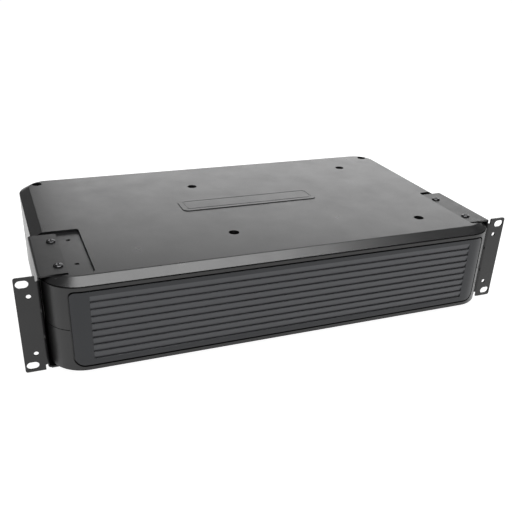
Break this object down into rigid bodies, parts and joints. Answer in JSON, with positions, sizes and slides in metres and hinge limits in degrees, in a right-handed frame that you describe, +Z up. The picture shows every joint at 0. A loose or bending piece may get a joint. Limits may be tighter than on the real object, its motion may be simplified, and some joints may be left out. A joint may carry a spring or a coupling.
{
  "type": "rack battery pack",
  "caption": "Rack battery pack in a black bevelled clamshell case, with a slatted pull-off front panel, slotted rack ears, a sliding battery tray and rear power connectors.",
  "frame": {"origin": "middle of the bounding box on the surface the pack stands on", "axes": "+X to the right seen from the front, +Y from the slatted front to the back, +Z up"},
  "size_m": [0.4782, 0.273, 0.0894],
  "materials": {
    "case_plastic": "fine textured, satin",
    "panel_plastic": "fine textured, satin",
    "ear_paint": "powder coat, satin black",
    "screw_black": "black zinc",
    "plated_sheet": "zinc plated",
    "battery_case": "moulded ABS",
    "contact_metal": "tin washed",
    "lead_insulation": "smooth",
    "strap_web": "woven",
    "rivet_metal": "bright",
    "connector_plastic": "moulded polycarbonate",
    "rear_paint": "powder coat",
    "breaker_plastic": "moulded",
    "rocker_plastic": "polished",
    "ground_metal": "yellow zinc"
  },
  "bodies": {
    "case": {"upper_shell": "case_plastic", "lower_shell": "case_plastic", "left_rack_ear": "ear_paint", "right_rack_ear": "ear_paint", "ear_top_screws": "screw_black", "ear_bottom_screws": "screw_black", "retainer_screws": "screw_black", "case_screws": "screw_black", "side_screws": "screw_black", "battery_retainer": "plated_sheet", "left_guide_rail": "plated_sheet", "right_guide_rail": "plated_sheet", "chassis_socket": "connector_plastic", "rear_panel": "rear_paint", "rear_panel_screws": "screw_black", "dc_input_connector": "connector_plastic", "dc_output_connector": "connector_plastic", "connector_contacts": "contact_metal", "breaker_housing": "breaker_plastic", "ground_screw": "ground_metal", "dc_harness": "lead_insulation"},
    "front_panel": {"front_panel": "panel_plastic"},
    "tray": {"battery_tray": "plated_sheet", "battery_front_left": "battery_case", "battery_front_right": "battery_case", "battery_back_left": "battery_case", "battery_back_right": "battery_case", "battery_terminals": "contact_metal", "battery_leads": "lead_insulation", "pull_strap": "strap_web", "strap_rivets": "rivet_metal", "tray_plug": "connector_plastic"},
    "rocker": {"breaker_rocker": "rocker_plastic"}
  },
  "joints": [
    {"name": "tray_slide", "type": "slide", "parent": "case", "child": "tray", "axis": [0, -1, 0], "range_m": [0, 0.16]},
    {"name": "front_panel_pull", "type": "slide", "parent": "case", "child": "front_panel", "axis": [0, -1, 0], "range_m": [0, 0.2]},
    {"name": "breaker_rocker_tilt", "type": "hinge", "parent": "case", "child": "rocker", "pos_m": [-0.052, 0.122, 0.0444], "axis": [1, 0, 0], "range_deg": [-16, 0]}
  ],
  "couplings": [
    {"joint": "front_panel_pull", "follows": "tray_slide", "ratio": 1.25}
  ]
}
